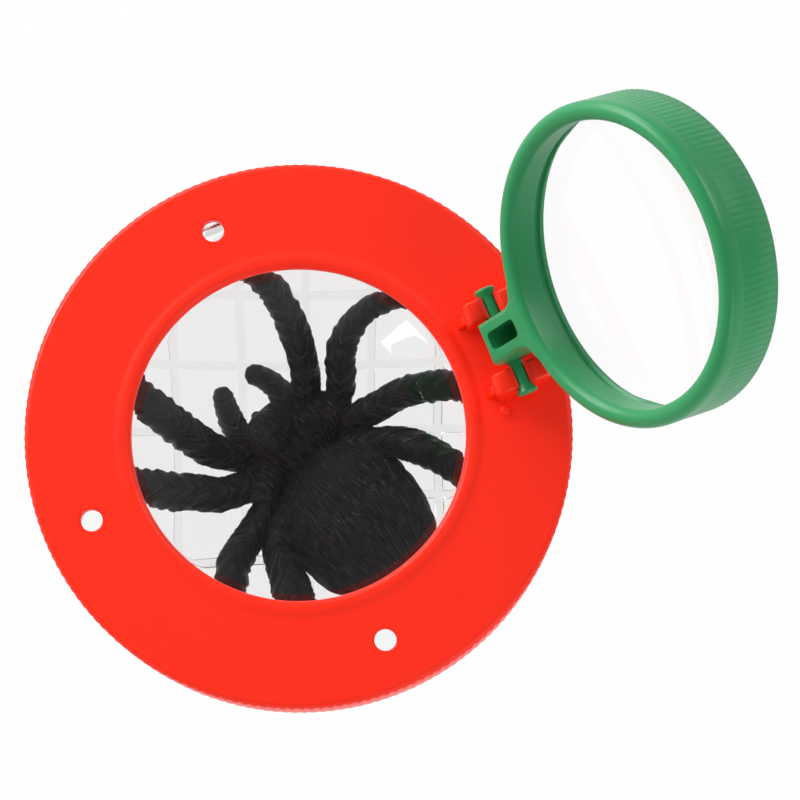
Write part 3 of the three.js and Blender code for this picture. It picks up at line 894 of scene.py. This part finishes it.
def arm_plan(ring, reach):
    """Plan of the arm, with a fillet between each flank and the ring."""
    fillet = ring.radius + ring.arm_fillet
    half = ring.arm_width / 2
    centre_y = half + ring.arm_fillet
    centre_x = PIN.x - math.sqrt(fillet**2 - centre_y**2)
    end = math.degrees(math.atan2(-centre_y, PIN.x - centre_x))
    curve = [(-centre_x - x, y) for x, y in arc(0, centre_y, ring.arm_fillet, -90, end, 10)]
    root = ring.radius - 0.6 * MM
    beyond = math.asin(centre_y / fillet) + math.radians(6)
    inside = (root * math.cos(beyond) - PIN.x, root * math.sin(beyond))
    flank = [(ring.arm_boss + OVER, half), *curve, inside, (-reach - OVER, inside[1])]
    return [*flank, *[(x, -y) for x, y in reversed(flank)]]


def arm_piece(ring, green):
    """Arm as its plan cut to its side view, with the pocket cut from its front."""
    reach = PIN.x - ring.opening + 2 * MM
    front = -ring.front
    plan = arm_plan(ring, reach)
    count = len(plan)
    verts = [(x, y, z) for z in (front, ring.depth) for x, y in plan]
    ends = [tuple(range(count)), tuple(reversed(range(count, 2 * count)))]
    arm = closed_piece("arm", verts, ends + tube_faces(2, count), green)
    rounded(arm, ring.arm_round, 5, 40)
    cut(arm, prism("side", arm_side(ring, reach), -12 * MM, 12 * MM, green), "INTERSECT")
    wide = ring.seat + 0.1 * MM
    disc = [(0, -ring.depth), (wide, -ring.depth), (wide, ring.depth), (0, ring.depth)]
    cut(arm, moved(lathe("hollow", disc, 288, green), (-PIN.x, 0, 0)))
    start, deep = -ring.pocket_start, ring.arm_boss - ring.pocket_floor
    pocket = [
        (start, front - OVER),
        (start, deep),
        (start - 0.8 * ring.pocket_length, deep),
        (start - ring.pocket_length, front - OVER),
    ]
    well = prism("pocket", pocket, -ring.pocket_width / 2, ring.pocket_width / 2, green)
    rounded(well, 0.7 * MM, 4)
    cut(arm, well)
    smooth_by_angle(arm, 40)
    return arm


def hinge_pin(ring, green):
    """Pin along Y, which flares into a rounded head at each end."""
    half, soft = ring.pin_half, 0.4 * MM
    inner = half - ring.head_length
    end = [
        (ring.pin, inner - 0.9 * MM),
        (ring.pin + 0.1 * MM, inner - 0.4 * MM),
        (ring.head - 0.08 * MM, inner + 0.3 * MM),
        *arc(ring.head - soft, half - soft, soft, 0, 90, 5),
        (0, half),
    ]
    profile = [*[(r, -y) for r, y in reversed(end)], *end]
    return placed(lathe("pin", profile, 48, green), Matrix.Rotation(math.radians(90), 4, "X"))


class VIEWER_OT_ring(bpy.types.Operator):
    """Makes the green ring with its grip ribs, arm and hinge pin"""

    bl_idname = "viewer.ring"
    bl_label = "Ring"

    def execute(self, context):
        ring = context.scene.viewer_ring
        green = satin_plastic("Green plastic", context.scene.viewer_finishes.green, 0.34, 0.35)
        body = lathe("ring", ring_profile(ring), 288, green)
        low, high = -ring.front + ring.plain_band, ring.depth - ring.front - SOFT
        ribs = rib_band("ring_ribs", ring, low, high, green, 0.25 * MM, 2.5 * MM)
        for piece in (body, ribs):
            moved(piece, (-PIN.x, 0, 0))
        joined(body, [ribs, arm_piece(ring, green), hinge_pin(ring, green)])
        placed(body, in_ring())
        settle(body, "flip_ring", "flip_frame")
        return {"FINISHED"}


# Spider, along its own axes: +Y to the head, +X to its right, standing on z = 0, in millimetres

# Each limb as points of its middle line, with the limb's radius there
LEGS = (
    (
        (2.4, 3.6, 5.6, 1.3), (4.7, 6.3, 7, 1.25), (6.1, 9.2, 8.2, 1.35),
        (6.9, 12.6, 7.4, 1.25), (6.5, 16.4, 4.8, 1.15), (6, 20, 1.4, 0.9),
    ),
    (
        (3, 2, 5.6, 1.3), (5.9, 3.1, 6.6, 1.2), (8.5, 5.7, 8.2, 1.3),
        (11.8, 6.6, 7.4, 1), (15.4, 5.5, 4.8, 1), (19, 4.6, 1.4, 0.8),
    ),
    (
        (3, 1, 5.6, 1.3), (7.3, -0.1, 6.8, 1.25), (10.2, -0.9, 7.6, 1.3),
        (12.7, -2.4, 6.8, 1.3), (15.2, -4.8, 4.2, 1.1), (17, -6.8, 1.4, 0.9),
    ),
    (
        (2.6, 0, 5.6, 1.3), (5.9, -2.8, 6.8, 1.3), (7.6, -4.9, 7.4, 1.4),
        (8.8, -7.6, 6, 1.3), (9.6, -11.4, 3.8, 1.15), (10.4, -14.6, 1.4, 0.9),
    ),
    (
        (-2.6, 3, 5.6, 1.3), (-5.5, 5.8, 7, 1.4), (-6.6, 8.5, 8, 1.5),
        (-7.1, 11.9, 7.2, 1.45), (-7.1, 16, 4.6, 1.25), (-7, 19.8, 1.4, 0.9),
    ),
    (
        (-3, 1.6, 5.6, 1.3), (-7.3, 2.7, 7, 1.4), (-9.4, 4.5, 7.8, 1.5),
        (-11, 6.4, 7, 1.55), (-13.2, 10, 4.2, 1.3), (-14.8, 13, 1.4, 0.9),
    ),
    (
        (-3, 0.4, 5.6, 1.3), (-7.9, -1.3, 6.8, 1.3), (-10.3, -2.1, 7.4, 1.45),
        (-12, -3.3, 6.4, 1.4), (-14.4, -5.4, 4, 1.2), (-16.4, -7.4, 1.4, 0.9),
    ),
    (
        (-2.6, -0.6, 5.6, 1.3), (-6.6, -3.4, 6.8, 1.4), (-8, -6.2, 7.2, 1.6),
        (-9, -8.8, 6.2, 1.7), (-10, -12, 3.8, 1.3), (-10.8, -15, 1.4, 0.9),
    ),
)
PALPS = (
    (
        (-2.4, 3.9, 5.6, 1.1), (-3, 5.8, 6, 1.1), (-2.8, 7.2, 5.6, 1.1),
        (-2.1, 8.8, 4.8, 0.9), (-1.5, 9.8, 4, 0.75),
    ),
    (
        (1.6, 3.6, 5.6, 1.1), (1.8, 5.6, 6, 1.15), (1.9, 7.1, 5.5, 1.05),
        (1.5, 8.5, 4.8, 0.9), (0.9, 9.4, 4, 0.85),
    ),
)
FANGS = (
    ((-0.8, 5, 5.2, 0.6), (-0.9, 6.6, 4.5, 0.46)),
    ((0, 5, 5.2, 0.55), (-0.1, 6.2, 4.5, 0.42)),
)
# The centre, width, length before and behind that and height of each rounded part of the body,
# with the depth and seed of its hair and the rows and columns of its mesh
BODY = (
    ((-0.25, -5.5, 6), 11.8, 6.4, 8.9, 9.4, 0.05, 0.0, 160, 320),
    ((0, 2.4, 6), 8, 3.9, 3.8, 5, 0.05, 3.0, 70, 140),
    ((-1.1, 3.9, 7.5), 4.4, 2.3, 2.3, 3.4, 0.01, 15.0, 40, 56),
    ((3.2, 2.5, 6.9), 4.4, 2.1, 2.1, 1.8, 0.01, 16.0, 40, 56),
    ((-4.3, 1.4, 6.9), 4.2, 2, 2, 1.8, 0.01, 17.0, 40, 56),
)
# Unevenness as the scale and the share of a noise
SWAY, COARSE, FINE = (0.7, 0.6), (1.1, 0.07), (3.4, 0.04)
HAIR, THIN_HAIR = (1.0, 1.0), (2.1, 0.5)
CHEVRON = 0.9  # slant of the tufts on a limb


def spline(points, share):
    """Point, with its radius, of a smooth path through `points`."""
    places = [Vector(p) for p in points]
    spans = len(places) - 1
    at = min(share * spans, spans - 1e-6)
    i = int(at)
    t = at - i
    b, c = places[i], places[i + 1]
    a = places[i - 1] if i else 2 * b - c
    d = places[i + 2] if i + 2 <= spans else 2 * c - b
    square, cube = 2 * a - 5 * b + 4 * c - d, 3 * b - a - 3 * c + d
    return 0.5 * ((2 * b) + (c - a) * t + square * t**2 + cube * t**3)


def uneven(spot, kind):
    """Noise at a place, of a kind given as its scale and share."""
    scale, share = kind
    return noise.noise(spot * scale) * share


def tuft(phase):
    """Height of overlapping tufts of hair: a slow rise and a quick fall."""
    share = phase % 1.0
    return share / 0.75 if share < 0.75 else (1 - share) / 0.25


def limb_mesh(points, groove, pitch, seed, rows=165, sides=36):
    """Limb along a path as (vertices, faces, UVs), with chevrons of tufts on its back."""
    spots = [spline(points, i / (rows - 1)) for i in range(rows)]
    path = [spot.xyz for spot in spots]
    travel = [0.0]
    for a, b in zip(path, path[1:]):
        travel.append(travel[-1] + (b - a).length)
    whole = travel[-1]
    verts, uvs = [], []
    for i, centre in enumerate(path):
        ahead = (path[min(i + 1, rows - 1)] - path[max(i - 1, 0)]).normalized()
        side = ahead.cross(Vector((0, 0, 1))).normalized()
        up = side.cross(ahead)
        base = spots[i].w
        left = min(1.0, (whole - travel[i]) / base)
        cap = math.sqrt(max(0.0, 1 - (1 - left) ** 2))
        for k in range(sides):
            angle = FULL * k / sides
            cosine, sine = math.cos(angle), math.sin(angle)
            turned = abs(math.atan2(cosine, sine))
            skew = travel[i] - CHEVRON * turned * base
            spot = Vector((travel[i] + seed * 7, cosine * base, sine * base))
            relief = groove * (tuft(skew / pitch + uneven(spot, SWAY)) - 0.5)
            radius = base * cap * (1 + relief + uneven(spot, COARSE) + uneven(spot, FINE))
            verts.append(centre + side * radius * cosine + up * radius * sine)
            uvs.append((turned * base + seed * 3, skew + seed))
    verts += [path[0], path[-1]]
    uvs += [(seed, 0), (seed, whole)]
    faces = tube_faces(rows, sides)
    last = (rows - 1) * sides
    for k in range(sides):
        j = (k + 1) % sides
        faces.append((rows * sides, j, k))
        faces.append((rows * sides + 1, last + k, last + j))
    return verts, faces, uvs


def swollen_mesh(centre, width, front, back, height, groove, seed, along, around):
    """Rounded body part along Y as (vertices, faces, UVs), with hair from front to back."""
    verts, uvs = [], []
    for i in range(along + 1):
        polar = math.pi * i / along
        reach = front if polar < math.pi / 2 else back
        size = Vector((width / 2, reach, height / 2))
        for k in range(around):
            angle = FULL * k / around - math.pi / 2
            cosine, sine = math.cos(angle), math.sin(angle)
            spot = Vector((cosine, sine, 0)) * width + Vector((0, 0, polar * reach * 0.4 + seed))
            hair = uneven(spot, HAIR) + uneven(spot, THIN_HAIR)
            lump = noise.noise(Vector((cosine, sine, polar)) * 1.6 + Vector((seed, 0, 0)))
            scale = 1 + (hair * groove + 0.04 * lump) * math.sin(polar)
            place = Vector((math.sin(polar) * cosine, math.cos(polar), math.sin(polar) * sine))
            verts.append(Vector(centre) + place * size * scale)
            uvs.append((polar * reach + seed, k / around * math.pi * width))
    return verts, tube_faces(along + 1, around), uvs


def spider_meshes():
    """Parts of the body and the limbs, each as (vertices, faces, UVs)."""
    limbs = [limb_mesh(path, 0.16, 1.15, i * 1.7) for i, path in enumerate(LEGS)]
    limbs += [limb_mesh(path, 0.12, 0.9, 20 + i, 60, 28) for i, path in enumerate(PALPS)]
    limbs += [limb_mesh(path, 0.05, 0.8, 30 + i, 20, 16) for i, path in enumerate(FANGS)]
    return {"spider_body": [swollen_mesh(*part) for part in BODY], "spider_limbs": limbs}


def fused(name, parts, material):
    """One piece of several (vertices, faces, UVs) in millimetres."""
    verts, faces, uvs = [], [], []
    for part_verts, part_faces, part_uvs in parts:
        start = len(verts)
        verts += [v * MM for v in part_verts]
        faces += [tuple(start + i for i in face) for face in part_faces]
        uvs += part_uvs
    piece = mesh_piece(name, verts, faces, material, 80)
    layer = piece.data.uv_layers.new(name=HAIR_MAP)
    for loop in piece.data.loops:
        layer.data[loop.index].uv = uvs[loop.vertex_index]
    with edited(piece.data) as work:
        bmesh.ops.remove_doubles(work, verts=work.verts, dist=1e-7)
        bmesh.ops.recalc_face_normals(work, faces=work.faces)
    return piece


class VIEWER_OT_spider(bpy.types.Operator):
    """Makes the rubber spider on the pot's floor"""

    bl_idname = "viewer.spider"
    bl_label = "Spider"

    def execute(self, context):
        rubber = hairy_rubber("Black rubber", context.scene.viewer_finishes.black)
        made = [fused(name, parts, rubber) for name, parts in spider_meshes().items()]
        low = min(v.co.z for piece in made for v in piece.data.vertices)
        place = (1.1 * MM, 4.1 * MM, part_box("toy_spider")[0][2] - low)
        stand = Matrix.Translation(place) @ Matrix.Rotation(math.radians(18), 4, "Z")
        for piece in made:
            settle(placed(piece, stand), "spider", "toy_spider")
        return {"FINISHED"}


# Stage

AIM = (15.92 * MM, -1.27 * MM, 62 * MM)
VIEW = (0.0493, 0.1252, -0.9909)
PICTURE_TOP = (0.3889, 0.9213, 0)
FAR_SIDE = (-0.8, 0.6, 0.0)
FLOOR_HALF, FLOOR_DROP = 1.5, 0.2 * MM
BOX_DISTANCE = 1.0
# Each light box with its direction from the lid, and whether it lights or is only reflected
BOXES = (
    ("key", (0.797, 0.229, 0.559), False),
    ("fill", (-0.526, 0.779, 0.342), True),
    ("back", (-0.1, 0.97, 0.2), True),
    ("low", (0.317, -0.871, 0.375), True),
)


def soft_box(name, direction, width, radiance, lights):
    """Square lamp that faces the lid, and that is only reflected where it doesn't light."""
    lamp = bpy.data.lights.new(name, "AREA")
    lamp.shape = "SQUARE"
    lamp.size = width
    lamp.energy = radiance * math.pi * width**2
    box = new_object(name, lamp)
    box.visible_diffuse = lights
    aim = Vector((0, 0, LID_LOW[2]))
    box.location = aim + Vector(direction).normalized() * BOX_DISTANCE
    box.rotation_euler = (box.location - aim).to_track_quat("Z", "Y").to_euler()


def paper_white(name, share):
    """Floor that the camera sees as white paper, and that still takes the object's shadow."""
    material, tree, shader = material_base(name)
    grey = (0.86, 0.86, 0.86, 1)
    wire(shader, {"Base Color": grey, "Roughness": 0.9, "Specular IOR Level": 0.0})
    seen = any_ray(tree, ("Is Camera Ray", "Is Glossy Ray", "Is Transmission Ray"))
    show_mix(tree, maths(tree, "MULTIPLY", seen, share), shader, add(tree, "ShaderNodeEmission"))
    return material


def studio_world(stage):
    """World that the camera sees white, even to matt surfaces and graded to glossy ones."""
    world = bpy.data.worlds.new("Studio")
    world.use_nodes = True
    tree = world.node_tree
    tree.nodes.clear()
    way = add(tree, "ShaderNodeTexCoord").outputs["Generated"]
    height = add(tree, "ShaderNodeSeparateXYZ", {0: way}).outputs["Z"]
    sky = between(tree, height, stage.horizon, stage.zenith)
    side = add(tree, "ShaderNodeVectorMath", {0: way, 1: FAR_SIDE}, operation="DOT_PRODUCT")
    share = between(tree, side.outputs["Value"], stage.far_side, 2.0 - stage.far_side, -1.0)
    level = maths(tree, "MULTIPLY", sky, share)
    for kind, light in (("Is Diffuse Ray", stage.ambient), ("Is Camera Ray", 1.0)):
        level = between(tree, any_ray(tree, (kind,)), level, light)
    back = add(tree, "ShaderNodeBackground", {"Strength": level, "Color": (1, 1, 1, 1)})
    add(tree, "ShaderNodeOutputWorld", {"Surface": back})
    return world


class VIEWER_OT_stage(bpy.types.Operator):
    """Makes the camera, the floor, the lamps and the world"""

    bl_idname = "viewer.stage"
    bl_label = "Stage"

    def execute(self, context):
        scene = context.scene
        stage = scene.viewer_stage
        scene.view_settings.view_transform = "Standard"
        lens = bpy.data.cameras.new("camera")
        lens.lens = stage.lens
        camera = new_object("camera", lens)
        ahead = Vector(VIEW).normalized()
        across = ahead.cross(Vector(PICTURE_TOP)).normalized()
        turn = Matrix((across, across.cross(ahead), -ahead)).transposed().to_4x4()
        camera.matrix_world = Matrix.Translation(Vector(AIM) - ahead * stage.distance) @ turn
        scene.camera = camera
        half, low = FLOOR_HALF, -FLOOR_DROP
        corners = [(-half, -half, low), (half, -half, low), (half, half, low), (-half, half, low)]
        floor = mesh_piece("floor", corners, [(0, 1, 2, 3)], paper_white("Floor paper", 0.97))
        for name, direction, lights in BOXES:
            width, radiance = getattr(stage, f"{name}_box"), getattr(stage, name)
            soft_box(f"{name}_box", direction, width, radiance, lights)
        scene.world = studio_world(stage)
        return {"FINISHED"}


class VIEWER_PT_panel(bpy.types.Panel):
    """Lists what the add-on builds"""

    bl_label = "Bug Viewer"
    bl_idname = "VIEWER_PT_panel"
    bl_space_type = "VIEW_3D"
    bl_region_type = "UI"
    bl_category = "Bug Viewer"

    def draw(self, context):
        for group in SETTINGS:
            box = self.layout.box()
            settings = getattr(context.scene, group)
            for key in settings.__annotations__:
                box.prop(settings, key)
        for operator in OPERATORS:
            self.layout.operator(operator.bl_idname)


OPERATORS = (
    VIEWER_OT_stage,
    VIEWER_OT_pot,
    VIEWER_OT_spider,
    VIEWER_OT_lid,
    VIEWER_OT_lenses,
    VIEWER_OT_ring,
)
SETTINGS = {
    "viewer_lid": LidSizes,
    "viewer_clip": ClipSizes,
    "viewer_ring": RingSizes,
    "viewer_lens": LensSizes,
    "viewer_pot": PotSizes,
    "viewer_finishes": Finishes,
    "viewer_stage": StageSettings,
}
CLASSES = (*SETTINGS.values(), *OPERATORS, VIEWER_PT_panel)


def register():
    for kind in CLASSES:
        bpy.utils.register_class(kind)
    for name, kind in SETTINGS.items():
        setattr(bpy.types.Scene, name, PointerProperty(type=kind))


def unregister():
    for name in SETTINGS:
        delattr(bpy.types.Scene, name)
    for kind in reversed(CLASSES):
        bpy.utils.unregister_class(kind)


def main():
    register()
    for operator in OPERATORS:
        getattr(bpy.ops.viewer, operator.bl_idname.split(".")[1])()


if __name__ == "__main__":
    main()
